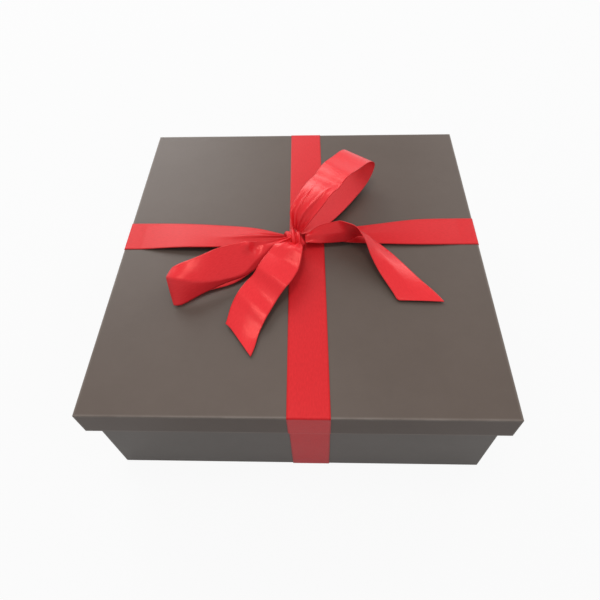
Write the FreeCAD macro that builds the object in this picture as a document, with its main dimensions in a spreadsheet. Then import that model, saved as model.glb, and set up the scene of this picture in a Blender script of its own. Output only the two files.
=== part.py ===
"""Square lift-off-lid gift box in paper-covered greyboard, tied with a satin ribbon and bow.

Millimetres, +Z up, origin under the middle of the box on the surface it stands on, front of the box at -Y.
"""

import FreeCAD, Part
import math
import os
import Sketcher

from FreeCAD import Vector

# Driving dimensions: each is one cell of the sheet, with its alias
SIZES = {
    "lid_width": 254.0,        # outside of the lid, left to right
    "lid_depth": 254.0,        # outside of the lid, front to back
    "lid_skirt": 22.0,         # height of the lid's sides
    "box_height": 90.0,        # underside of the base to the top of the lid
    "board": 2.5,              # greyboard
    "paper": 0.25,             # covering and lining paper
    "stay": 0.1,               # gummed corner tape, which also sets the glue line under the covering
    "stay_leg": 15.0,          # width of the tape on each side of a corner
    "turn_in": 14.0,           # covering paper folded over a rim and down inside
    "lid_clearance": 1.5,      # lid to base, each side
    "edge_round": 0.6,         # rounding of the covered board's outer edges
    "ribbon_width": 25.0,
    "ribbon": 0.4,             # thickness of the satin ribbon
    "tuck": 10.0,              # ribbon end glued inside the lid's rim
    "ribbon_top_gap": 3.0,     # base ribbon's end below the base's rim
    "front_band_x": 8.0,       # where the ribbon crosses each edge of the lid
    "back_band_x": 2.0,
    "left_band_y": 9.5,
    "right_band_y": 13.5,
    "band_flat": 12.0,         # side ribbons lie flat this far in from the lid's edge
    "knot_x": -3.5,            # middle of the knot, from the middle of the lid
    "knot_y": 1.5,
    "knot_half_length": 8.5,
    "knot_half_depth": 7.0,
    "knot_half_height": 5.8,
    "knot_seat": 0.4,          # knot above the ribbon that it sits on
    "bow_reach": 95.0,         # middle of the lid to the end of the right tail
}

# Ribbon stretches of the bow, from the knot outwards. Each station is its middle x, y from the middle of the
# lid and z above the lid, the direction of the ribbon's width seen from above, the dip of that side, both in
# degrees, and the share of the full width that the gathers leave. They are written for a bow of this
# reach, and grow with it.
DRAWN_REACH = 95.0
BACK_LOOP = [
    (-1.5, 6.0, 10.5, -35, 0, 0.3),
    (2.0, 13.5, 20.5, -35, 0, 0.76),
    (13.5, 28.0, 28.5, -35, 0, 1.0),
    (29.0, 49.5, 29.5, -35, 0, 1.0),
    (41.0, 66.0, 27.0, -35, 0, 1.0),
    (46.5, 74.0, 17.0, -35, 0, 1.0),
    (41.0, 66.0, 6.5, -35, 0, 1.0),
    (27.0, 46.0, 3.5, -35, 0, 1.0),
    (13.0, 26.5, 4.0, -35, 0, 0.9),
    (4.0, 13.5, 6.0, -35, 0, 0.5),
    (-0.5, 7.0, 6.5, -35, 0, 0.24),
]
LEFT_LOOP = [
    (-10.5, -1.5, 10.0, -90, 10, 0.18),
    (-23.0, -16.0, 11.5, -95, 32, 0.56),
    (-36.0, -23.5, 13.5, -85, 39, 0.88),
    (-50.5, -28.5, 13.5, -82, 42, 1.0),
    (-65.0, -35.5, 12.5, -84, 43, 1.04),
    (-76.5, -41.0, 11.0, -84, 41, 1.04),
    (-83.5, -43.0, 8.0, -87, 29, 1.0),
    (-79.5, -38.5, 4.5, -87, 15, 1.0),
    (-62.0, -27.0, 4.0, -90, 13, 1.0),
    (-42.5, -19.0, 4.0, -93, 13, 0.9),
    (-25.0, -10.5, 4.5, -100, 15, 0.45),
    (-11.0, -4.0, 6.0, -90, 15, 0.16),
]
FRONT_TAIL = [
    (-2.5, -5.0, 8.5, 0, 0, 0.28),
    (-7.0, -14.0, 13.0, -14, 0, 0.66),
    (-11.0, -24.5, 13.5, -21, 2, 1.0),
    (-16.5, -36.0, 11.0, -23, 2, 1.0),
    (-24.0, -45.5, 8.8, -26, 3, 1.0),
    (-30.5, -58.5, 5.8, -22, 3, 1.0),
    (-34.5, -70.5, 2.8, -25, 3, 0.9),
    (-36.0, -78.0, 1.8, -54, 2, 1.12),
]
RIGHT_TAIL = [
    (4.0, 0.5, 7.3, -90, 17, 0.2),
    (16.0, 2.5, 9.5, -74, 51, 0.46),
    (29.0, 3.0, 12.0, -56, 66, 0.66),
    (39.0, 2.0, 14.2, 54, 67, 0.84),
    (47.0, -3.5, 12.8, 61, 48, 0.78),
    (54.5, -12.5, 8.2, 50, 25, 0.78),
    (63.0, -24.5, 5.0, 35, 8, 0.8),
    (73.0, -39.0, 2.6, 26, 0, 0.9),
    (80.5, -48.5, 1.5, -2, 0, 1.16),
]
# Side ribbons rise from the lid to the knot and draw in as they go
LEFT_RISE = [
    (-85.0, 8.0, 2.8, -90, -6, 1.0),
    (-55.0, 6.0, 4.0, -90, -5, 0.88),
    (-34.0, 4.5, 5.4, -97, -3, 0.66),
    (-18.0, 3.0, 6.3, -100, 0, 0.3),
    (-9.5, 2.5, 6.5, -95, 0, 0.14),
]
RIGHT_RISE = [
    (85.0, 12.0, 1.4, -90, 0, 0.96),
    (55.0, 9.5, 2.2, -90, 0, 0.74),
    (35.0, 7.5, 3.2, -90, 0, 0.56),
    (16.0, 5.5, 4.6, -90, 0, 0.28),
    (5.0, 3.5, 5.2, -90, 0, 0.12),
]

doc = FreeCAD.newDocument("gift_box")
sheet = doc.addObject("Spreadsheet::Sheet", "Sizes")
for row, (alias, value) in enumerate(SIZES.items(), start=1):
    sheet.set(f"A{row}", alias)
    sheet.set(f"B{row}", str(value))
    sheet.setAlias(f"B{row}", alias)

# Heights and thicknesses that follow from the driving dimensions
DERIVED = {
    "skin": "paper + stay",                                   # covering paper and its glue line
    "wall": "paper + stay + board + paper",                   # a covered and lined board
    "base_width": "lid_width - 2 * (wall + lid_clearance)",
    "base_depth": "lid_depth - 2 * (wall + lid_clearance)",
    "base_floor": "2 * ribbon",                               # underside of the base, on two crossed ribbons
    "lid_top": "base_floor + box_height",
    "lid_rim": "lid_top - lid_skirt",
    "base_rim": "lid_top - wall",                             # the lid's lining rests here
    "knot_z": "lid_top + ribbon + knot_seat + knot_half_height",
}
for row, (alias, formula) in enumerate(DERIVED.items(), start=len(SIZES) + 1):
    sheet.set(f"A{row}", alias)
    sheet.set(f"B{row}", "=" + formula)
    sheet.setAlias(f"B{row}", alias)
doc.recompute()


def cell(alias):
    """A sheet value, for shapes that are not bound by expression."""
    return float(getattr(sheet, alias))


def bound(formula):
    """A formula in sheet aliases as an expression of the document."""
    words = sorted([*SIZES, *DERIVED], key=len, reverse=True)
    out, rest = "", formula
    while rest:
        name = next((w for w in words if rest.startswith(w)), None)
        out += f"Sizes.{name}" if name else rest[0]
        rest = rest[len(name):] if name else rest[1:]
    return out


def place(obj, corner):
    """Binds the object's position to three formulas."""
    for axis, formula in zip("xyz", corner):
        obj.setExpression(f"Placement.Base.{axis}", bound(formula))
    return obj


def block(name, size, corner):
    """A box whose three sizes and lowest corner are formulas."""
    box = doc.addObject("Part::Box", name)
    for side, formula in zip(("Length", "Width", "Height"), size):
        box.setExpression(side, bound(formula))
    return place(box, corner)


def slab(name, width, depth, low, high):
    """A box centred on the Z axis, between two heights."""
    return block(name, (width, depth, f"{high} - ({low})"), (f"-({width}) / 2", f"-({depth}) / 2", low))


def cut(name, base, tool):
    solid = doc.addObject("Part::Cut", name)
    solid.Base, solid.Tool = base, tool
    return solid


def fuse(name, *shapes):
    solid = doc.addObject("Part::MultiFuse", name)
    solid.Shapes = list(shapes)
    return solid


subparts = []


def subpart(obj, label):
    obj.Label = label
    subparts.append(obj)
    return obj


# Greyboard panels: each is cut from sheet as a rectangle and padded to the board's thickness

def panel(label, length, width, thick, corner):
    """A panel as a body: a length by width rectangle on XY, padded up by thick, its lowest corner placed."""
    body = doc.addObject("PartDesign::Body", label)
    outline = body.newObject("Sketcher::SketchObject", f"{label}_outline")
    plane = next(f for f in body.Origin.OriginFeatures if f.Role == "XY_Plane")
    outline.AttachmentSupport = [(plane, "")]
    outline.MapMode = "FlatFace"
    corners = [Vector(0, 0), Vector(10, 0), Vector(10, 10), Vector(0, 10)]
    for i in range(4):
        outline.addGeometry(Part.LineSegment(corners[i], corners[(i + 1) % 4]))
    for i in range(4):
        outline.addConstraint(Sketcher.Constraint("Coincident", i, 2, (i + 1) % 4, 1))
        outline.addConstraint(Sketcher.Constraint("Vertical" if i % 2 else "Horizontal", i))
    outline.addConstraint(Sketcher.Constraint("Coincident", 0, 1, -1, 1))
    for name, kind, line in (("length", "DistanceX", 0), ("width", "DistanceY", 1)):
        index = outline.addConstraint(Sketcher.Constraint(kind, line, 1, line, 2, 10.0))
        outline.renameConstraint(index, name)
    outline.setExpression("Constraints.length", bound(length))
    outline.setExpression("Constraints.width", bound(width))
    pad = body.newObject("PartDesign::Pad", f"{label}_pad")
    pad.Profile = outline
    pad.setExpression("Length", bound(thick))
    return subpart(place(body, corner), label)


def board_tray(prefix, width, depth, flat_low, wall_low, wall_high, flat):
    """One flat panel and four walls, butted: front and back run the full width, the sides stand between."""
    long_x, long_y = f"({width} - 2 * skin)", f"({depth} - 2 * skin)"
    rise = f"{wall_high} - ({wall_low})"
    panel(f"{prefix}_{flat}_board", long_x, long_y, "board", (f"-{long_x} / 2", f"-{long_y} / 2", flat_low))
    panel(f"{prefix}_front_board", long_x, "board", rise, (f"-{long_x} / 2", f"-{long_y} / 2", wall_low))
    panel(f"{prefix}_back_board", long_x, "board", rise,
          (f"-{long_x} / 2", f"{long_y} / 2 - board", wall_low))
    between = f"{long_y} - 2 * board"
    side_y = f"-{long_y} / 2 + board"
    panel(f"{prefix}_left_board", "board", between, rise, (f"-{long_x} / 2", side_y, wall_low))
    panel(f"{prefix}_right_board", "board", between, rise, (f"{long_x} / 2 - board", side_y, wall_low))


board_tray("base", "base_width", "base_depth", "base_floor + skin", "base_floor + skin + board",
           "base_rim - paper", "bottom")
board_tray("lid", "lid_width", "lid_depth", "lid_top - skin - board", "lid_rim + paper",
           "lid_top - skin - board", "top")


# Corner stays: strips of gummed paper tape folded round each upright corner of the board, under the covering

def corner_stays(prefix, width, depth, low, high):
    """Four L-shaped tapes: a square column at each corner, less that column moved in by its thickness."""
    corners = (("front_left", "-", "-", "", ""), ("front_right", "", "-", "- stay_leg", ""),
               ("back_right", "", "", "- stay_leg", "- stay_leg"), ("back_left", "-", "", "", "- stay_leg"))
    column = ("stay_leg", "stay_leg", f"{high} - ({low})")
    for where, side_x, side_y, back_x, back_y in corners:
        name = f"{prefix}_corner_stay_{where}"
        x = f"{side_x}({width} / 2 - paper) {back_x}"
        y = f"{side_y}({depth} / 2 - paper) {back_y}"
        outer = block(f"{name}_outer", column, (x, y, low))
        inner = block(f"{name}_inner", column,
                      (f"{x} {'+' if side_x else '-'} stay", f"{y} {'+' if side_y else '-'} stay", low))
        subpart(cut(name, outer, inner), name)


corner_stays("base", "base_width", "base_depth", "base_floor + paper", "base_rim - paper")
corner_stays("lid", "lid_width", "lid_depth", "lid_rim + paper", "lid_top - paper")


# Covering and lining papers: the covering wraps the outside and folds over the rim to meet the lining

def covering(prefix, width, depth, closed, rim):
    """The covering paper: an outer skin closed at one end, a strip over the rim and its turn-in inside."""
    up = rim == "base_rim"
    low, high = (closed, rim) if up else (rim, closed)
    outer = slab(f"{prefix}_cover_block", width, depth, low, high)
    doc.recompute()
    rounded = doc.addObject("Part::Fillet", f"{prefix}_cover_rounded")
    rounded.Base = outer
    closed_z = cell(closed)
    radius = cell("edge_round")
    edges = []
    for number, edge in enumerate(outer.Shape.Edges, start=1):
        upright = abs(edge.Vertexes[0].Z - edge.Vertexes[1].Z) > radius
        at_closed_end = all(abs(v.Z - closed_z) < radius for v in edge.Vertexes)
        if upright or at_closed_end:
            edges.append((number, radius, radius))
    rounded.Edges = edges
    room = slab(f"{prefix}_board_room", f"{width} - 2 * paper", f"{depth} - 2 * paper",
                f"{low} + paper", f"{high} - paper")
    mouth_low, mouth_high = (f"{low} + paper", high) if up else (low, f"{high} - paper")
    mouth = slab(f"{prefix}_mouth", f"{width} - 2 * wall", f"{depth} - 2 * wall", mouth_low, mouth_high)
    fold_low, fold_high = (f"{high} - turn_in", high) if up else (low, f"{low} + turn_in")
    fold = slab(f"{prefix}_fold_block", f"{width} - 2 * (wall - paper)", f"{depth} - 2 * (wall - paper)",
                fold_low, fold_high)
    fold_mouth = slab(f"{prefix}_fold_mouth", f"{width} - 2 * wall", f"{depth} - 2 * wall",
                      fold_low, fold_high)
    skin = cut(f"{prefix}_skin", cut(f"{prefix}_skin_room", rounded, room), mouth)
    turned = cut(f"{prefix}_turn_in", fold, fold_mouth)
    return subpart(fuse(f"{prefix}_covering", skin, turned), f"{prefix}_covering_paper")


def lining(prefix, width, depth, floor, rim):
    """The lining paper: a shallow tray on the inside of the boards, as far as the covering's turn-in."""
    up = rim == "base_rim"
    low, high = (floor, f"{rim} - turn_in") if up else (f"{rim} + turn_in", floor)
    outer = slab(f"{prefix}_lining_block", f"{width} - 2 * (wall - paper)", f"{depth} - 2 * (wall - paper)",
                 low, high)
    in_low, in_high = (f"{low} + paper", high) if up else (low, f"{high} - paper")
    inner = slab(f"{prefix}_lining_inside", f"{width} - 2 * wall", f"{depth} - 2 * wall", in_low, in_high)
    return subpart(cut(f"{prefix}_lining", outer, inner), f"{prefix}_lining_paper")


covering("base", "base_width", "base_depth", "base_floor", "base_rim")
lining("base", "base_width", "base_depth", "base_floor + skin + board", "base_rim")
covering("lid", "lid_width", "lid_depth", "lid_top", "lid_rim")
lining("lid", "lid_width", "lid_depth", "lid_top - skin - board", "lid_rim")


# Ribbon on the base: one stretch glued up each wall, and two that cross underneath

def base_riser(side, x, y, along_x):
    size = ("ribbon_width", "ribbon") if along_x else ("ribbon", "ribbon_width")
    return subpart(block(f"base_ribbon_{side}", (*size, "base_rim - ribbon_top_gap"), (x, y, "0")),
                   f"base_ribbon_{side}")


def strip(name, near, far, half_run, low, turn=0):
    """A flat ribbon stretch along Y, turned about +Z, slanting from offset near at its first end to far."""
    wedge = doc.addObject("Part::Wedge", name)
    half = "ribbon_width / 2"
    bounds = {"Xmin": f"{near} - {half}", "Xmax": f"{near} + {half}", "X2min": f"{far} - {half}",
              "X2max": f"{far} + {half}", "Ymin": f"-({half_run})", "Ymax": half_run,
              "Zmin": low, "Zmax": f"{low} + ribbon", "Z2min": low, "Z2max": f"{low} + ribbon"}
    for key, formula in bounds.items():
        wedge.setExpression(key, bound(formula))
    wedge.Placement = FreeCAD.Placement(Vector(), FreeCAD.Rotation(Vector(0, 0, 1), turn))
    return wedge


base_riser("front", "front_band_x - ribbon_width / 2", "-base_depth / 2 - ribbon", True)
base_riser("back", "back_band_x - ribbon_width / 2", "base_depth / 2", True)
base_riser("left", "-base_width / 2 - ribbon", "left_band_y - ribbon_width / 2", False)
base_riser("right", "base_width / 2", "right_band_y - ribbon_width / 2", False)
subpart(strip("under_long", "front_band_x", "back_band_x", "base_depth / 2", "0"), "base_ribbon_under_long")
subpart(strip("under_cross", "-left_band_y", "-right_band_y", "base_width / 2", "ribbon", -90),
        "base_ribbon_under_cross")


# Ribbon on the lid: down each side, round the rim and glued inside it

def drop(side, middle, outward, along_x):
    """The three runs of ribbon on one side of the lid: outside, under the rim and the tuck inside."""
    edge = "lid_depth / 2" if along_x else "lid_width / 2"
    across = f"{middle} - ribbon_width / 2"
    runs = (
        ("outside", "ribbon", "lid_rim - ribbon", "lid_skirt + 2 * ribbon", f"{edge}", f"{edge} + ribbon"),
        ("under", "wall + 2 * ribbon", "lid_rim - ribbon", "ribbon",
         f"{edge} - wall - ribbon", f"{edge} + ribbon"),
        ("inside", "ribbon", "lid_rim - ribbon", "tuck", f"{edge} - wall - ribbon", f"{edge} - wall"),
    )
    made = []
    for run, thick, low, high, inner, outer in runs:
        start = inner if outward > 0 else f"-({outer})"
        size = ("ribbon_width", thick, high) if along_x else (thick, "ribbon_width", high)
        corner = (across, start, low) if along_x else (start, across, low)
        made.append(block(f"lid_{side}_{run}", size, corner))
    return made


long_top = strip("lid_long_top", "front_band_x", "back_band_x", "lid_depth / 2", "lid_top")
long_drops = [*drop("front", "front_band_x", -1, True), *drop("back", "back_band_x", 1, True)]
subpart(fuse("lid_long", long_top, *long_drops), "lid_ribbon_long")
subpart(fuse("lid_left_drop", *drop("left", "left_band_y", -1, False)), "lid_ribbon_left_drop")
subpart(fuse("lid_right_drop", *drop("right", "right_band_y", 1, False)), "lid_ribbon_right_drop")


# Bow: the knot and the ribbon stretches that it holds, each a thin loft through its stations

def ribbon_section(middle, width_way, normal):
    """The closed outline of a flat ribbon, square to its run."""
    half_thick = normal * (cell("ribbon") / 2)
    corners = [middle - width_way - half_thick, middle + width_way - half_thick,
               middle + width_way + half_thick, middle - width_way + half_thick]
    return Part.makePolygon(corners + corners[:1])


def grown(stations):
    """Stations at the bow's own reach in place of the drawn one."""
    factor = cell("bow_reach") / DRAWN_REACH
    return [(x * factor, y * factor, z * factor, *rest) for x, y, z, *rest in stations]


def eased(stations, steps):
    """Stations with steps - 1 more between each two, on a curve that passes through all of them."""
    out = []
    for i in range(len(stations) - 1):
        around = [stations[max(i - 1, 0)], stations[i], stations[i + 1],
                  stations[min(i + 2, len(stations) - 1)]]
        for step in range(steps):
            t = step / steps
            out.append(tuple(
                b + t / 2 * ((c - a) + t * ((2 * a - 5 * b + 4 * c - d) + t * (3 * (b - c) + d - a)))
                for a, b, c, d in zip(*around)))
    return out + [stations[-1]]


def ribbon_loft(label, stations):
    """A ribbon through stations, with its thickness along the normal that its run and width give."""
    lid_top = cell("lid_top")
    middles = [Vector(x, y, lid_top + z) for x, y, z, *_ in stations]
    sections = []
    for i, (*_, way, dip, share) in enumerate(stations):
        flat = math.cos(math.radians(dip))
        width_way = Vector(flat * math.cos(math.radians(way)), flat * math.sin(math.radians(way)),
                           -math.sin(math.radians(dip)))
        run = middles[min(i + 1, len(middles) - 1)] - middles[max(i - 1, 0)]
        normal = run.cross(width_way).normalize()
        sections.append(ribbon_section(middles[i], width_way * (share * cell("ribbon_width") / 2), normal))
    feature = doc.addObject("Part::Feature", label)
    feature.Shape = Part.makeLoft(sections, True, True)
    length = sum((b - a).Length for a, b in zip(middles, middles[1:]))
    print(f"{label}: run {length:.0f} mm, volume {feature.Shape.Volume:.0f} mm3")
    return subpart(feature, label)


def flat_start(side, middle_alias):
    """Two stations that lie flat on the lid, at its edge and where the ribbon starts to rise."""
    edge, flat, middle = cell("lid_width") / 2, cell("band_flat"), cell(middle_alias)
    on_lid = cell("ribbon") / 2
    return [(side * edge, middle, on_lid, -90, 0, 1.0), (side * (edge - flat), middle, on_lid, -90, 0, 1.0)]


ribbon_loft("lid_ribbon_left", flat_start(-1, "left_band_y") + grown(LEFT_RISE))
ribbon_loft("lid_ribbon_right", flat_start(1, "right_band_y") + grown(RIGHT_RISE))
ribbon_loft("bow_loop_back", eased(grown(BACK_LOOP), 4))
ribbon_loft("bow_loop_left", eased(grown(LEFT_LOOP), 4))
ribbon_loft("bow_tail_front", eased(grown(FRONT_TAIL), 4))
ribbon_loft("bow_tail_right", eased(grown(RIGHT_TAIL), 4))

knot = doc.addObject("Part::Ellipsoid", "bow_knot")
for radius, alias in (("Radius1", "knot_half_height"), ("Radius2", "knot_half_length"),
                      ("Radius3", "knot_half_depth")):
    knot.setExpression(radius, bound(alias))
subpart(place(knot, ("knot_x", "knot_y", "knot_z")), "bow_knot")

doc.recompute()

# Every object is checked before anything is written
for obj in doc.Objects:
    if "Invalid" in obj.State or "Error" in obj.State:
        raise RuntimeError(f"{obj.Label} failed to build: {obj.State}")
for obj in subparts:
    if obj.Shape.isNull() or not obj.Shape.isValid() or not obj.Shape.Solids:
        raise RuntimeError(f"{obj.Label} is not a valid solid")

os.makedirs("parts", exist_ok=True)
for obj in subparts:
    obj.Shape.exportStep(f"parts/{obj.Label}.step")
print(f"{len(subparts)} sub-parts written")
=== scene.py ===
from math import pi, radians

import bpy
import numpy as np
from mathutils import Matrix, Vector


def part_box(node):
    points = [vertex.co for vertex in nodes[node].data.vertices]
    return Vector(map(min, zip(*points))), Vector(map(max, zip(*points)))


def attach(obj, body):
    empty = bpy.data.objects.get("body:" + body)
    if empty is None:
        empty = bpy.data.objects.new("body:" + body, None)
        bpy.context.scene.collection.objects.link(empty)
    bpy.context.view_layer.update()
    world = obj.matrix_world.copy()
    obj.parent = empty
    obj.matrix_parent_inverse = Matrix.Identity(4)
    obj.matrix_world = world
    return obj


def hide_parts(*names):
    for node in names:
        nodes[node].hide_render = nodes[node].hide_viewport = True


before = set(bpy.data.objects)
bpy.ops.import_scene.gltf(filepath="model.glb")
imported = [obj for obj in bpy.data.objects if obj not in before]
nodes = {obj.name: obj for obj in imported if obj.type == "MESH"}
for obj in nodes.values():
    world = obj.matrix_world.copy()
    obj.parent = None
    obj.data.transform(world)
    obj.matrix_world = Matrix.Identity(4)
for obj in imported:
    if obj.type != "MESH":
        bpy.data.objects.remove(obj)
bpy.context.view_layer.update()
scene = bpy.context.scene


# Covering paper of the lid and the base: dyed charcoal-brown packaging paper with a satin calendered face,
# glued over the boards and turned in at the rims. The frame's own solids have its true folds and edges.

def linear(hex_colour):
    """An sRGB hex colour as linear RGBA: a straight line near black and a power curve above it."""
    channels = np.array([int(hex_colour[i:i + 2], 16) for i in (1, 3, 5)]) / 255
    near_black = channels / 12.92
    above = ((channels + 0.055) / 1.055) ** 2.4
    return (*np.where(channels <= 0.04045, near_black, above).tolist(), 1.0)


def add_node(tree, kind, settings=None, links=None, **values):
    """Adds a shader node: settings are its own properties, values its inputs, links its inputs' sources."""
    node = tree.nodes.new(kind)
    for key, value in (settings or {}).items():
        setattr(node, key, value)
    for key, value in values.items():
        node.inputs[key.replace("_", " ")].default_value = value
    for key, source in (links or {}).items():
        tree.links.new(source, node.inputs[key])
    return node


def new_material(name):
    """An empty node material: the material, its tree and its output node."""
    material = bpy.data.materials.new(name)
    material.use_nodes = True
    material.node_tree.nodes.clear()
    return material, material.node_tree, material.node_tree.nodes.new("ShaderNodeOutputMaterial")


PAPER_FIBRE = 0.0012       # metres, clouding of the fibres, drawn about twice as coarse so that it shows
PAPER_CLOUD = 0.06         # slow change of tone over a panel
PAPER_RELIEF = 0.0001      # height of the fibres' bump
EDGE_HIGHLIGHT = 0.0018          # how far in from a folded edge the painted highlight reaches
HIGHLIGHT_STRETCH = 0.025            # length of its stronger and weaker stretches


def painted_edge_highlight(tree, where, box):
    """Painted highlight on a box's paper: most at its edges, none from EDGE_HIGHLIGHT inwards, in uneven
    stretches.

    A point lies at some depth below each of the three pairs of faces, and the middle one of the three depths
    is its distance from an edge.
    """
    low, high = np.array(box)
    centred = add_node(tree, "ShaderNodeVectorMath", {"operation": "SUBTRACT"}, {0: where})
    centred.inputs[1].default_value = ((low + high) / 2).tolist()
    outwards = add_node(tree, "ShaderNodeVectorMath", {"operation": "ABSOLUTE"}, {0: centred.outputs[0]})
    depth = add_node(tree, "ShaderNodeVectorMath", {"operation": "SUBTRACT"}, {1: outwards.outputs[0]})
    depth.inputs[0].default_value = ((high - low) / 2).tolist()
    x, y, z = add_node(tree, "ShaderNodeSeparateXYZ", links={"Vector": depth.outputs[0]}).outputs
    lesser = add_node(tree, "ShaderNodeMath", {"operation": "MINIMUM"}, {0: x, 1: y})
    greater = add_node(tree, "ShaderNodeMath", {"operation": "MAXIMUM"}, {0: x, 1: y})
    capped = add_node(tree, "ShaderNodeMath", {"operation": "MINIMUM"}, {0: greater.outputs[0], 1: z})
    middle = add_node(tree, "ShaderNodeMath", {"operation": "MAXIMUM"},
                      {0: lesser.outputs[0], 1: capped.outputs[0]})
    near = add_node(tree, "ShaderNodeMapRange", {"interpolation_type": "SMOOTHSTEP"},
                    {"Value": middle.outputs[0]}, From_Min=0.0, From_Max=EDGE_HIGHLIGHT, To_Min=1.0, To_Max=0.0)
    uneven = add_node(tree, "ShaderNodeTexNoise", links={"Vector": where}, Scale=1 / HIGHLIGHT_STRETCH, Detail=5.0,
                      Roughness=0.7)
    highlight_share = add_node(tree, "ShaderNodeMath", {"operation": "MULTIPLY"},
                   {0: near.outputs[0], 1: uneven.outputs["Fac"]})
    return highlight_share.outputs[0]


def paper_stock(name, dark, light, roughness, bump, highlight_colour=None, edges_of=None):
    """Paper or board: two close tones in slow clouds, and a fine fibre bump under a sheen set by roughness.

    Where edges_of names a covering, its folded edges are painted towards a third, paler tone, a painted
    highlight.
    """
    material, tree, out = new_material(name)
    where = add_node(tree, "ShaderNodeTexCoord").outputs["Object"]
    cloud = add_node(tree, "ShaderNodeTexNoise", links={"Vector": where}, Scale=1 / PAPER_CLOUD, Detail=8.0,
                     Roughness=0.75)
    tone = add_node(tree, "ShaderNodeMix", {"data_type": "RGBA"}, {"Factor": cloud.outputs["Fac"]})
    # the Mix node keeps an A and a B socket for each data type, so the colour ones are picked out
    colour_a, colour_b = [s for s in tone.inputs if s.type == "RGBA"]
    colour_a.default_value = linear(dark)
    colour_b.default_value = linear(light)
    colour = [s for s in tone.outputs if s.type == "RGBA"][0]
    # painted highlight: a covering's folded edges are painted paler, as if their rounded folds caught the
    # light
    if edges_of:
        highlighted = add_node(tree, "ShaderNodeMix", {"data_type": "RGBA"},
                        {"Factor": painted_edge_highlight(tree, where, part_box(edges_of))})
        colour_a, colour_b = [s for s in highlighted.inputs if s.type == "RGBA"]
        tree.links.new(colour, colour_a)
        colour_b.default_value = linear(highlight_colour)
        colour = [s for s in highlighted.outputs if s.type == "RGBA"][0]
    fibre = add_node(tree, "ShaderNodeTexNoise", links={"Vector": where}, Scale=1 / PAPER_FIBRE, Detail=4.0,
                     Roughness=0.65)
    height = add_node(tree, "ShaderNodeBump", links={"Height": fibre.outputs["Fac"]}, Strength=bump,
                      Distance=PAPER_RELIEF)
    shader = add_node(tree, "ShaderNodeBsdfPrincipled", None,
                      {"Base Color": colour, "Normal": height.outputs["Normal"]},
                      Roughness=roughness, IOR=1.5, Specular_IOR_Level=0.3)
    tree.links.new(shader.outputs["BSDF"], out.inputs["Surface"])
    return material


def dress(node_names, material):
    """Gives the frame's own solids their material."""
    for node_name in node_names:
        mesh = nodes[node_name].data
        mesh.materials.clear()
        mesh.materials.append(material)


# calendering presses the face smooth, which gives the lid its broad soft sheen
# a painted highlight, paler along the lid's folded edges, stands in for light caught by the rounded folds
lid_paper = paper_stock("charcoal_satin_paper", "#4F433B", "#5D5149", roughness=0.42, bump=0.25,
                        highlight_colour="#877E76", edges_of="lid_covering_paper")
dress(["lid_covering_paper"], lid_paper)
# the base's paper is a greyer, paler copy of the lid's, which paints in the table's light on the base's
# walls; it is also a little less smooth
# the base's folded edges get the same painted highlight
base_paper = paper_stock("grey_satin_paper", "#615B56", "#6F6964", roughness=0.48, bump=0.25,
                         highlight_colour="#8E8882", edges_of="base_covering_paper")
dress(["base_covering_paper"], base_paper)


# Lining paper: plain off-white paper pasted inside the lid and the base, as far as the covering's turned-in
# edge. It is uncoated, so it looks matt and its fibres show.
lining_paper = paper_stock("uncoated_lining_paper", "#DCD7CC", "#E2DED4", roughness=0.85, bump=0.4)
dress(["lid_lining_paper", "base_lining_paper"], lining_paper)


# Greyboard: 2.5 mm board of pulped waste paper, cut to panels that butt at the corners. It is the stiff shell
# that the papers hide, and it looks grey, rough and dull.
greyboard = paper_stock("greyboard", "#8B857A", "#97917F", roughness=0.9, bump=0.6)
dress([n for n in nodes if n.endswith("_board")], greyboard)


# Corner stays: gummed brown paper tape, folded round each upright corner to hold the board together under
# the covering. Its face is smoother than the board's, with a little sheen.
stay_tape = paper_stock("gummed_kraft_tape", "#9C8160", "#A58A69", roughness=0.7, bump=0.4)
dress([n for n in nodes if "_corner_stay_" in n], stay_tape)


# Ribbon round the base: 25 mm polyester satin with woven edges, glued flat up each wall and under the bottom,
# one length across the box and, over it, one from front to back.

RIBBON_WIDTH = 0.025
RIBBON_THICK = 0.0004
SELVEDGE = 0.0009          # woven edge, a little darker than the face
FLOAT_WIDTH = 0.0008       # streaks of warp floats, several threads wide so that they show
FLOAT_RUN = 0.003          # their length along the ribbon
WEFT_SPACING = 0.0006      # weft threads lie nearer 0.15 mm apart, drawn coarser so that they show
WEFT_RELIEF = 0.0001       # height of the weft's bump
BAND_PERIOD = 0.314        # length of one band of the wave texture at a scale of 1


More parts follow.
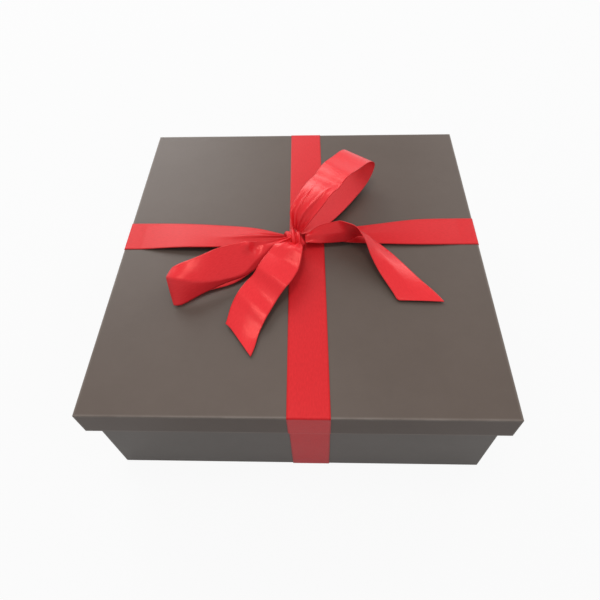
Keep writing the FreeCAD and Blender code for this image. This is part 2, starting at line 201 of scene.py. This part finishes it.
def satin_ribbon(name, face, shade, roughness, shine):
    """Satin: streaks of warp floats in two close tones, the darker one at the woven edges, over a weft bump.

    The floats run with the ribbon, so they stretch its highlights across it.
    """
    material, tree, out = new_material(name)
    spot = add_node(tree, "ShaderNodeUVMap", {"uv_map": "Ribbon"}).outputs["UV"]
    across = add_node(tree, "ShaderNodeSeparateXYZ", links={"Vector": spot}).outputs["X"]
    from_middle = add_node(tree, "ShaderNodeMath", {"operation": "ABSOLUTE"}, {0: across})
    edge = add_node(tree, "ShaderNodeMath", {"operation": "GREATER_THAN"}, {0: from_middle.outputs[0]})
    edge.inputs[1].default_value = RIBBON_WIDTH / 2 - SELVEDGE
    stretched = add_node(tree, "ShaderNodeMapping", links={"Vector": spot},
                         Scale=(1 / FLOAT_WIDTH, 1 / FLOAT_RUN, 1))
    floats = add_node(tree, "ShaderNodeTexNoise", links={"Vector": stretched.outputs["Vector"]}, Scale=1.0,
                      Detail=2.0)
    darker = add_node(tree, "ShaderNodeMath", {"operation": "MAXIMUM"},
                      {0: edge.outputs[0], 1: floats.outputs["Fac"]})
    tone = add_node(tree, "ShaderNodeMix", {"data_type": "RGBA"}, {"Factor": darker.outputs[0]})
    colour_a, colour_b = [s for s in tone.inputs if s.type == "RGBA"]
    colour_a.default_value = linear(face)
    colour_b.default_value = linear(shade)
    weft = add_node(tree, "ShaderNodeTexWave", {"bands_direction": "Y", "wave_profile": "SIN"},
                    {"Vector": spot}, Scale=BAND_PERIOD / WEFT_SPACING, Distortion=1.5, Detail=1.0)
    threads = add_node(tree, "ShaderNodeBump", links={"Height": weft.outputs["Fac"]}, Strength=0.25,
                       Distance=WEFT_RELIEF)
    run = add_node(tree, "ShaderNodeTangent", {"direction_type": "UV_MAP", "uv_map": "Ribbon"})
    shader = add_node(tree, "ShaderNodeBsdfPrincipled", None,
                      {"Base Color": [s for s in tone.outputs if s.type == "RGBA"][0],
                       "Normal": threads.outputs["Normal"], "Tangent": run.outputs["Tangent"]},
                      Roughness=roughness, Anisotropic=0.55, IOR=1.5, Specular_IOR_Level=shine,
                      Specular_Tint=linear("#FF9890"))
    tree.links.new(shader.outputs["BSDF"], out.inputs["Surface"])
    return material


# glued flat to the dark box, the ribbon is painted deeper, a painted shade, and is duller; the bow's free
# ribbon is painted paler for the light that passes through its loops
flat_satin = satin_ribbon("red_satin_on_box", "#D6282F", "#BE1D22", roughness=0.34, shine=0.38)
free_satin = satin_ribbon("red_satin_of_bow", "#E83138", "#D6242B", roughness=0.19, shine=0.6)
# the weft shows on the back of the weave, which is duller; it is painted paler too, for the light that passes
# through the ribbon into the loops' insides
satin_back = satin_ribbon("red_satin_back", "#F44A4E", "#E43C40", roughness=0.5, shine=0.4)
# the thin side of the ribbon shows thread ends, which are dull
woven_edge = satin_ribbon("red_woven_edge", "#E63A3F", "#E63A3F", roughness=0.6, shine=0.5)

COLUMNS = 41               # grid lines across a ribbon
u = np.linspace(-1, 1, COLUMNS)                 # places across a ribbon, from edge to edge


def distances(points):
    """How far along a run each of its points lies: the running sum of its steps."""
    steps = np.linalg.norm(np.diff(points, axis=0), axis=1)
    return np.concatenate([[0], np.cumsum(steps)])


def ribbon_mesh(name, middle, across, lift=0.0, faces=(flat_satin, flat_satin)):
    """A ribbon as a grid: middle(t) + across(t) u + lift(t, u) n, for u from -1 to 1, with n square to both.

    across is the half-width vector at each of the rows. The UV map is metres of flat ribbon, across and
    along. faces are the materials of its side towards -n and of its side towards n.
    """
    rows = len(middle)
    run = np.gradient(middle, axis=0)
    normal = np.cross(run, across)
    normal /= np.linalg.norm(normal, axis=1, keepdims=True)
    offset = np.broadcast_to(lift, (rows, COLUMNS))
    points = middle[:, None] + across[:, None] * u[None, :, None] + normal[:, None] * offset[..., None]
    number = np.arange(rows * COLUMNS).reshape(rows, COLUMNS)
    corners = [number[:-1, :-1], number[:-1, 1:], number[1:, 1:], number[1:, :-1]]
    quads = np.stack(corners, axis=-1).reshape(-1, 4)
    along = distances(middle)[:, None]
    flat = np.stack(np.broadcast_arrays(u[None] * RIBBON_WIDTH / 2, along), axis=-1).reshape(-1, 2)
    mesh = bpy.data.meshes.new(name)
    mesh.from_pydata(points.reshape(-1, 3), [], quads)
    mesh.uv_layers.new(name="Ribbon").data.foreach_set("uv", flat[quads.ravel()].ravel())
    mesh.polygons.foreach_set("use_smooth", np.ones(len(quads), bool))
    for material in (faces[0], woven_edge, faces[1]):
        mesh.materials.append(material)
    piece = bpy.data.objects.new(name, mesh)
    scene.collection.objects.link(piece)
    body = piece.modifiers.new("thickness", "SOLIDIFY")
    body.thickness = RIBBON_THICK
    body.offset = 0.0
    body.material_offset_rim = 1
    body.material_offset = 2
    return piece


def stretched_ribbon(name, body, run, half_width, nodes_replaced):
    """A ribbon glued flat to a paper along run, with the same half-width vector at all of its rows."""
    piece = ribbon_mesh(name, run, np.tile(half_width, (len(run), 1)))
    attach(piece, body)
    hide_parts(*nodes_replaced)


RUN_STEP = 0.0012          # spacing of the rows on a straight run
BEND_ROWS = 7              # rows round a bend
BEND_SHARE = 0.45          # the most of a straight run that the bend at its end takes up


def bent_path(corners, radius):
    """A run through corners with each bend rounded: a quadratic arc from radius before it to radius after."""
    corners = np.array(corners, float)
    ahead = np.diff(corners, axis=0)
    length = np.linalg.norm(ahead, axis=1, keepdims=True)
    ahead /= length
    reach = np.minimum(radius, BEND_SHARE * np.minimum(length[:-1], length[1:]))
    before = corners[1:-1] - ahead[:-1] * reach
    after = corners[1:-1] + ahead[1:] * reach
    t = np.linspace(0, 1, BEND_ROWS)[:, None]
    bends = [(1 - t) ** 2 * b + 2 * t * (1 - t) * c + t ** 2 * a
             for b, c, a in zip(before, corners[1:-1], after)]
    ends = [corners[:1], *bends, corners[-1:]]
    out = []
    for first, second in zip(ends, ends[1:]):
        gap = second[0] - first[-1]
        rows = max(2, int(np.linalg.norm(gap) / RUN_STEP))
        straight = np.linspace(0, 1, rows, endpoint=False)[1:, None]
        out += [first, first[-1] + straight * gap]
    return np.concatenate([*out, ends[-1]])


BASE_BEND = 0.0012         # bend at the base's lower edges
FRONT_BAND_X = 0.008       # where the ribbon crosses each edge of the box, as the photograph shows
BACK_BAND_X = 0.002
LEFT_BAND_Y = 0.0095
RIGHT_BAND_Y = 0.0135
HALF_WIDTH_X = [RIBBON_WIDTH / 2, 0, 0]         # of a ribbon that runs from front to back
HALF_WIDTH_Y = [0, -RIBBON_WIDTH / 2, 0]        # of one that runs across
half_thick = RIBBON_THICK / 2
base_high = np.array(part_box("base_covering_paper")[1])
ribbon_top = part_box("base_ribbon_front")[1][2]

wall = base_high[1] + half_thick
under = half_thick
run = bent_path([(FRONT_BAND_X, -wall, ribbon_top), (FRONT_BAND_X, -wall, under),
                 (BACK_BAND_X, wall, under), (BACK_BAND_X, wall, ribbon_top)], BASE_BEND)
stretched_ribbon("base_ribbon_long", "base", run, HALF_WIDTH_X,
                 ("base_ribbon_front", "base_ribbon_under_long", "base_ribbon_back"))

# the length across lies between the long one and the box
wall = base_high[0] + half_thick
under = 3 * half_thick
run = bent_path([(-wall, LEFT_BAND_Y, ribbon_top), (-wall, LEFT_BAND_Y, under),
                 (wall, RIGHT_BAND_Y, under), (wall, RIGHT_BAND_Y, ribbon_top)], BASE_BEND)
stretched_ribbon("base_ribbon_cross", "base", run, HALF_WIDTH_Y,
                 ("base_ribbon_left", "base_ribbon_under_cross", "base_ribbon_right"))


# Long ribbon of the lid: the same satin in one length from front to back, flat under the knot, over both
# edges, round the rim and tucked up inside it.

LID_WALL = 0.0031          # covered and lined board
TUCK = 0.0096              # glued length inside the rim
LID_BEND = 0.001           # bend at the lid's edges and rim
lid_low, lid_high = (np.array(corner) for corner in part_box("lid_covering_paper"))
lid_top = lid_high[2]


def over_the_edge(edge):
    """Distances from the middle and heights of a ribbon: its tuck, round the rim and up to the lid's top."""
    inside = edge - LID_WALL - half_thick
    outside = edge + half_thick
    rim = lid_low[2] - half_thick
    return [(inside, rim + TUCK), (inside, rim), (outside, rim), (outside, lid_top + half_thick)]


edge_run = over_the_edge(lid_high[1])
run = bent_path([(FRONT_BAND_X, -d, z) for d, z in edge_run]
                + [(BACK_BAND_X, d, z) for d, z in edge_run[::-1]], LID_BEND)
stretched_ribbon("lid_ribbon_long_satin", "lid", run, HALF_WIDTH_X,
                 ("lid_ribbon_long",))


# Side ribbons of the lid: two lengths of the same satin. Each comes up from inside the rim, lies flat at the
# edge, then lifts and draws in to the knot with a few soft folds along it.

MM = 0.001                 # stations, folds, waves and dents are written in millimetres
CROWN_POWER = 1.4          # from 1, a sharp ridge, to 2, a round one
FOLD_START = 0.35          # share of its height that a fold has at the knot
FOLD_RISE = 4 * MM         # distance from the knot in which it would grow by its full height
FLAT_STRETCH = 0.012       # flat length from the lid's edge inwards
SIDE_ROWS = 12             # rows from one station of a side ribbon to the next


def along_stations(stations, per_span):
    """Stations eased to a smooth run: a cubic through each four neighbours, per_span rows between each two.

    A station is x, y from the middle of the lid and z above it, the direction of the width from above and its
    dip in degrees, the share of the full width, and the height and place across of the ribbon's own crown.
    Gives middles, half-width vectors, and crown heights and places.
    """
    table = np.array(stations, float)
    ends = np.concatenate([table[:1], table, table[-1:]])
    a, b, c, d = (ends[i:i + len(table) - 1, None] for i in range(4))
    t = (np.arange(per_span) / per_span)[None, :, None]
    rows = b + t / 2 * ((c - a) + t * ((2 * a - 5 * b + 4 * c - d) + t * (3 * (b - c) + d - a)))
    rows = np.concatenate([rows.reshape(-1, table.shape[1]), table[-1:]])
    middle = rows[:, :3] * MM + [0, 0, lid_top]
    way, dip = np.radians(rows[:, 3]), np.radians(rows[:, 4])
    across = np.stack([np.cos(dip) * np.cos(way), np.cos(dip) * np.sin(way), -np.sin(dip)], axis=-1)
    return middle, across * (rows[:, 5:6] * RIBBON_WIDTH / 2), rows[:, 6] * MM, rows[:, 7]


def crowned(height, place, power=CROWN_POWER):
    """A ridge along the ribbon: full height at its place across, less a power of the way to either edge."""
    place = place[:, None]
    away = np.where(u < place, (place - u) / (1 + place), (u - place) / (1 - place))
    return height[:, None] * (1 - away ** power)


def folded(middle, folds):
    """The sum of folds that fade from one end: each a bell across the ribbon, smoothly less along its reach.

    A fold is the end that it starts from, its place across there and at its far end, its height, its
    half-width across and its reach.
    """
    from_start = distances(middle)
    lift = np.zeros((len(middle), COLUMNS))
    for end, near, far, height, half_width, reach in folds:
        distance = from_start if end == "start" else from_start[-1] - from_start
        left = np.clip(1 - distance / (reach * MM), 0, 1)
        place = far + (near - far) * left[:, None]
        fade = left * left * (3 - 2 * left) * np.clip(FOLD_START + distance / FOLD_RISE, 0, 1)
        lift += height * MM * fade[:, None] * np.exp(-((u - place) / half_width) ** 2)
    return lift


def side_ribbon(name, side, band_y, stations, nodes_replaced, folds):
    """A side ribbon: the run over the lid's edge, joined to the eased rise towards the knot."""
    flat_end = lid_high[0] - FLAT_STRETCH
    edge_run = [(side * d, band_y, z) for d, z in over_the_edge(lid_high[0])]
    start = bent_path([*edge_run, (side * flat_end, band_y, lid_top + half_thick)], LID_BEND)[:-1]
    first = (side * flat_end / MM, band_y / MM, half_thick / MM, -90, 0, 1.0, 0, 0)
    rise, across, crown, ridge = along_stations([first, *stations], SIDE_ROWS)
    middle = np.concatenate([start, rise])
    across = np.concatenate([np.tile(HALF_WIDTH_Y, (len(start), 1)), across])
    lift = np.concatenate([np.zeros((len(start), COLUMNS)), crowned(crown, ridge) + folded(rise, folds)])
    piece = ribbon_mesh(name, middle, across, lift)
    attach(piece, "lid")
    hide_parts(*nodes_replaced)


side_ribbon("lid_ribbon_left_satin", -1, LEFT_BAND_Y, [
    (-85.0, 8.0, 2.8, -90, -6, 1.0, -0.3, 0.0),
    (-55.0, 6.0, 4.0, -90, -5, 0.88, -0.8, 0.1),
    (-34.0, 4.5, 5.4, -97, -3, 0.66, -1.2, 0.15),
    (-18.0, 3.0, 6.3, -100, 0, 0.34, -0.8, 0.1),
    (-9.5, 2.5, 6.5, -95, 0, 0.16, 0.0, 0.0),
], ("lid_ribbon_left_drop", "lid_ribbon_left"), [
    ("end", 0.15, 0.15, -1.5, 0.2, 60), ("end", -0.5, -0.5, -0.9, 0.22, 32),
    ("end", 0.62, 0.62, -0.7, 0.2, 26), ("end", -0.12, -0.12, 0.8, 0.12, 30),
])
side_ribbon("lid_ribbon_right_satin", 1, RIGHT_BAND_Y, [
    (85.0, 12.0, 1.4, -90, 0, 0.96, 0.2, 0.0),
    (55.0, 9.5, 2.2, -90, 0, 0.74, 0.8, 0.0),
    (35.0, 7.5, 3.2, -90, 0, 0.56, 1.0, 0.0),
    (16.0, 5.5, 4.6, -90, 0, 0.28, 0.6, 0.0),
    (5.0, 3.5, 5.2, -90, 0, 0.14, 0.0, 0.0),
], ("lid_ribbon_right_drop", "lid_ribbon_right"), [
    ("end", -0.25, -0.25, 1.0, 0.25, 45), ("end", 0.45, 0.45, 0.9, 0.22, 32),
    ("end", 0.12, 0.12, -0.6, 0.12, 34),
])


# Bow: two loops and two tails of one length of the same satin, tied by hand. Each leaves the knot in a few
# uneven folds and opens to about its full width. The tails are cut on a slant.

BOW_ROWS = 16              # rows from one station of the bow to the next


def waved(middle, waves):
    """The sum of soft waves that cross the ribbon: each a bell along it, skewed by its place across.

    A wave is its height, its distance along the ribbon, its half-length and its slant.
    """
    along = distances(middle)[:, None] / MM
    lift = np.zeros((len(middle), COLUMNS))
    for height, place, half_length, slant in waves:
        lift += height * MM * np.exp(-((along - place - slant * u) / half_length) ** 2)
    return lift


def dented(middle, dents):
    """The sum of small dents: each a bell both along the ribbon and across it.

    A dent is its height, its distance along the ribbon, its half-length, and its place and half-width across.
    """
    along = distances(middle)[:, None] / MM
    lift = np.zeros((len(middle), COLUMNS))
    for height, place, half_length, across, half_width in dents:
        lift += height * MM * np.exp(-((along - place) / half_length) ** 2 - ((u - across) / half_width) ** 2)
    return lift


def bow_ribbon(name, node, stations, folds, waves=(), dents=(), ridge_power=CROWN_POWER,
               faces=(free_satin, free_satin)):
    """One stretch of the bow: its stations eased to a run, lifted by its crown, folds, waves and dents.
    """
    middle, across, crown, ridge = along_stations(stations, BOW_ROWS)
    lift = crowned(crown, ridge, ridge_power) + folded(middle, folds)
    lift = lift + waved(middle, waves) + dented(middle, dents)
    piece = ribbon_mesh(name, middle, across, lift, faces)
    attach(piece, "lid")
    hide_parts(node)


bow_ribbon("bow_loop_back_satin", "bow_loop_back", [
    (-1.5, 6.0, 10.0, -35, 0, 0.3, 0.0, 0.0),
    (1.5, 12.5, 20.0, -35, -8, 0.8, -1.0, -0.2),
    (11.5, 25.0, 27.8, -35, -13, 1.0, -0.8, 0.0),
    (26.5, 46.0, 31.2, -35, -7, 1.0, -0.2, 0.0),
    (41.0, 66.0, 27.0, -35, 0, 1.0, 0.0, 0.0),
    (46.5, 74.0, 17.0, -35, 0, 1.0, 0.0, 0.0),
    (41.0, 66.0, 6.5, -35, 0, 1.0, 0.0, 0.0),
    (27.0, 46.0, 3.5, -35, 0, 1.0, 0.0, 0.0),
    (13.0, 26.5, 4.0, -35, 0, 0.95, 0.0, 0.0),
    (4.5, 14.0, 5.5, -35, 0, 0.7, 0.0, 0.0),
    (-0.5, 7.0, 6.5, -35, 0, 0.24, 0.0, 0.0),
], [
    ("start", -0.86, -0.86, -1.8, 0.1, 20), ("start", -0.62, -0.55, 2.2, 0.22, 38),
    ("start", -0.3, -0.42, -2.8, 0.08, 42), ("start", 0.05, 0.05, 1.0, 0.2, 22),
    ("start", 0.1, 0.7, -3.0, 0.08, 46), ("start", 0.6, 0.9, 1.2, 0.16, 32),
    ("end", -0.4, -0.4, 1.0, 0.25, 18), ("end", 0.45, 0.45, -0.9, 0.25, 18),
], waves=[
    (-0.8, 32, 6, 0), (1.2, 44, 4, -2), (-0.6, 56, 7, -2), (0.6, 70, 8, -2),
], faces=(free_satin, satin_back))
bow_ribbon("bow_loop_left_satin", "bow_loop_left", [
    (-6.5, -2.0, 9.6, -90, 10, 0.22, 0.0, 0.0),
    (-22.5, -14.5, 12.0, -94, 30, 0.56, 0.8, 0.0),
    (-36.0, -23.0, 14.0, -86, 34, 0.9, 1.6, 0.75),
    (-50.5, -28.5, 13.8, -82, 40, 0.98, 3.0, 0.75),
    (-65.0, -36.0, 12.5, -82, 43, 1.0, 5.2, 0.3),
    (-77.0, -42.3, 11.2, -82, 43, 1.06, 6.0, -0.3),
    (-82.4, -42.8, 9.0, -84, 37, 0.96, 3.6, -0.55),
    (-79.0, -38.8, 4.9, -80, 16, 0.94, 0.0, 0.0),
    (-62.0, -28.5, 3.8, -86, 12, 1.0, 0.0, 0.0),
    (-42.5, -22.0, 3.6, -92, 12, 0.95, 0.0, 0.0),
    (-25.0, -12.5, 4.5, -100, 15, 0.6, 0.0, 0.0),
    (-11.0, -4.0, 6.0, -90, 15, 0.16, 0.0, 0.0),
], [
    ("start", -0.3, -0.3, 1.2, 0.22, 26), ("start", 0.3, 0.3, -1.0, 0.2, 22),
    ("start", -0.7, -0.7, -0.9, 0.14, 34), ("end", 0.0, 0.0, 1.0, 0.3, 14),
], waves=[
    (-1.0, 50, 8, -3),
], dents=[
    (2.8, 35, 2.6, -0.8, 0.4), (-2.4, 28, 3.2, -0.55, 0.5),
], ridge_power=1.15, faces=(satin_back, free_satin))
bow_ribbon("bow_tail_front_satin", "bow_tail_front", [
    (-2.5, -5.0, 8.5, 0, 0, 0.3, 0.0, 0.0),
    (-6.5, -12.5, 13.0, -13, 0, 0.76, 0.8, 0.2),
    (-11.0, -24.5, 13.5, -21, 2, 1.0, 0.6, 0.0),
    (-16.5, -36.0, 11.0, -23, 2, 1.0, 0.3, 0.0),
    (-24.0, -45.5, 8.8, -26, 3, 1.0, 0.3, 0.0),
    (-30.5, -58.5, 5.8, -22, 3, 1.0, 0.5, 0.0),
    (-34.5, -70.5, 2.8, -25, 3, 0.92, 0.6, 0.0),
    (-36.0, -78.0, 1.8, -54, 2, 1.12, 0.4, 0.0),
], [
    ("start", -0.5, -0.5, 1.3, 0.18, 16), ("start", 0.05, 0.05, -1.3, 0.14, 15),
    ("start", 0.55, 0.55, 1.2, 0.18, 18), ("start", -0.85, -0.85, -0.8, 0.14, 12),
], waves=[
    (1.6, 11, 4.5, 2), (-1.0, 22, 5, 2), (1.5, 36, 4.5, 3), (-1.0, 47, 6, 4), (0.8, 60, 5, 5),
])
bow_ribbon("bow_tail_right_satin", "bow_tail_right", [
    (4.0, 0.5, 7.3, -90, 17, 0.22, 0.0, 0.0),
    (15.0, 2.5, 9.5, -74, 50, 0.5, -1.2, 0.0),
    (28.5, 3.0, 12.0, -56, 66, 0.68, -1.8, 0.0),
    (39.0, 2.0, 14.2, 54, 67, 0.84, 0.0, 0.0),
    (47.0, -3.5, 12.8, 61, 48, 0.78, 1.6, 0.0),
    (54.5, -12.5, 8.2, 50, 25, 0.78, 2.0, 0.0),
    (63.0, -24.5, 5.0, 35, 8, 0.8, 1.8, 0.0),
    (73.0, -39.0, 2.6, 26, 0, 0.9, 0.8, 0.0),
    (80.5, -48.5, 1.5, -2, 0, 1.16, 0.3, 0.0),
], [
    ("start", -0.3, -0.3, -0.8, 0.3, 15), ("start", 0.45, 0.45, 0.7, 0.25, 13),
])


# Knot: a turn of the same ribbon drawn tight round the gathered middle of the bow, squeezed to uneven folds,
# with its ends beneath.

KNOT_MIDDLE = np.array([-3.5, 1.0, 6.6]) * MM
KNOT_HALF_DEPTH = 6.4 * MM
KNOT_HALF_HEIGHT = 5.5 * MM
KNOT_HALF_LENGTH = 6.4 * MM
KNOT_SKEW = -2.2 * MM      # how far the turn lies aslant over its half-length
KNOT_ROWS = 97
EDGE_DRAW = 4.0 * MM       # how far the edges draw in to what they hold
FOLD_HEIGHT = 1.2 * MM
PUCKER_HEIGHT = 0.3 * MM

# the run is an ellipse that starts and ends underneath, and the lift is a power of the way to the edges, with
# two rows of cosines across it that wander with the turn
turn = np.linspace(radians(-100), radians(260), KNOT_ROWS)
ring = np.stack([np.zeros(KNOT_ROWS), -KNOT_HALF_DEPTH * np.cos(turn),
                 KNOT_HALF_HEIGHT * np.sin(turn)], axis=-1)
run = ring + KNOT_MIDDLE + [0, 0, lid_top]
drawn_in = EDGE_DRAW * np.abs(u) ** 2.4
folds = FOLD_HEIGHT * np.cos(3.0 * pi * u + 0.9 * turn[:, None]) * (1 - u ** 4)
puckers = PUCKER_HEIGHT * np.cos(7.3 * pi * u - 1.7 * np.cos(turn[:, None]))
bow_knot = ribbon_mesh("bow_knot_satin", run, np.tile([KNOT_HALF_LENGTH, KNOT_SKEW, 0], (KNOT_ROWS, 1)),
                       drawn_in - folds - puckers, (free_satin, free_satin))
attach(bow_knot, "lid")
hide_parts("bow_knot")


# Stage: a plain white table, soft windows behind the box and a lamp above it, and the photograph's viewpoint.
# The table and the room show white, and light the box as a plain table and room would.

def seen_rays(tree, straight, gloss):
    """A share of white: straight for a ray from the camera or through glass, gloss for a reflected one."""
    rays = add_node(tree, "ShaderNodeLightPath")
    looks = add_node(tree, "ShaderNodeMath", {"operation": "MAXIMUM"},
                     {0: rays.outputs["Is Camera Ray"], 1: rays.outputs["Is Transmission Ray"]})
    shine = add_node(tree, "ShaderNodeMath", {"operation": "MULTIPLY"}, {0: rays.outputs["Is Glossy Ray"]})
    shine.inputs[1].default_value = gloss
    share = add_node(tree, "ShaderNodeMath", {"operation": "MULTIPLY_ADD", "use_clamp": True},
                     {0: looks.outputs[0], 2: shine.outputs[0]})
    share.inputs[1].default_value = straight
    return share.outputs[0]


TABLE = -0.00005           # height of the table, a hair under the ribbon that the box stands on
REACH = 30                 # half of the table's side
table_mesh = bpy.data.meshes.new("table")
table_mesh.from_pydata([(-REACH, -REACH, TABLE), (REACH, -REACH, TABLE), (REACH, REACH, TABLE),
                        (-REACH, REACH, TABLE)], [], [(0, 1, 2, 3)])
table = bpy.data.objects.new("table", table_mesh)
scene.collection.objects.link(table)
table_white, tree, out = new_material("white_table")
surface = add_node(tree, "ShaderNodeBsdfPrincipled", Roughness=0.8, Base_Color=linear("#B4B4B4"))
glow = add_node(tree, "ShaderNodeEmission", Color=linear("#FFFFFF"), Strength=1.0)
# the table looks nearly white with a faint shadow, and the box is lit by the table's own surface
seen = add_node(tree, "ShaderNodeMixShader", None,
                {0: seen_rays(tree, straight=0.93, gloss=0.2), 1: surface.outputs[0], 2: glow.outputs[0]})
tree.links.new(seen.outputs[0], out.inputs["Surface"])
table_mesh.materials.append(table_white)

world = bpy.data.worlds.new("room")
scene.world = world
world.use_nodes = True
tree = world.node_tree
tree.nodes.clear()
room = add_node(tree, "ShaderNodeBackground", Color=linear("#F2F4F8"), Strength=0.75)
white = add_node(tree, "ShaderNodeBackground", Color=linear("#FFFFFF"), Strength=1.0)
seen = add_node(tree, "ShaderNodeMixShader", None,
                {0: seen_rays(tree, straight=1.0, gloss=1.0), 1: room.outputs[0], 2: white.outputs[0]})
add_node(tree, "ShaderNodeOutputWorld", links={"Surface": seen.outputs[0]})


def area_light(name, place, aim, size, power, colour):
    """A square light at place that faces aim."""
    light = bpy.data.lights.new(name, "AREA")
    light.size = size
    light.energy = power
    light.color = linear(colour)[:3]
    lamp = bpy.data.objects.new(name, light)
    away = np.array(place) - np.array(aim)
    lamp.location = place
    tilt = np.arctan2(np.hypot(away[0], away[1]), away[2])
    lamp.rotation_euler = (tilt, 0, np.arctan2(away[1], away[0]) + pi / 2)
    scene.collection.objects.link(lamp)


area_light("window", (-0.9, 1.5, 1.2), (0, 0, 0.08), size=1.2, power=19, colour="#FFFFFF")
area_light("far_window", (1.1, 1.4, 1.1), (0, 0, 0.08), size=1.0, power=7.5, colour="#FFFFFF")
area_light("ceiling", (-0.1, 0.0, 1.5), (0, 0, 0.05), size=0.3, power=4.5, colour="#FFFAF4")

# the viewpoint is the pinhole camera fitted to the box's edges in the photograph
CAMERA_X, CAMERA_Y, CAMERA_RISE = 0.01524, -0.23928, 0.28209   # from the middle of the lid's top
CAMERA_YAW, CAMERA_PITCH, CAMERA_ROLL = radians(-3.459), radians(49.828), radians(2.773)
camera_data = bpy.data.cameras.new("camera")
camera_data.sensor_width = 36.0
camera_data.lens = 30.91
camera_data.shift_x = -0.0017
camera_data.shift_y = -0.0875
camera_data.clip_start = 0.01
camera = bpy.data.objects.new("camera", camera_data)
scene.collection.objects.link(camera)
camera.matrix_world = (Matrix.Translation((CAMERA_X, CAMERA_Y, float(lid_top) + CAMERA_RISE))
                       @ Matrix.Rotation(-CAMERA_YAW, 4, "Z") @ Matrix.Rotation(pi / 2 - CAMERA_PITCH, 4, "X")
                       @ Matrix.Rotation(-CAMERA_ROLL, 4, "Z"))
scene.camera = camera
scene.view_settings.view_transform = "Standard"
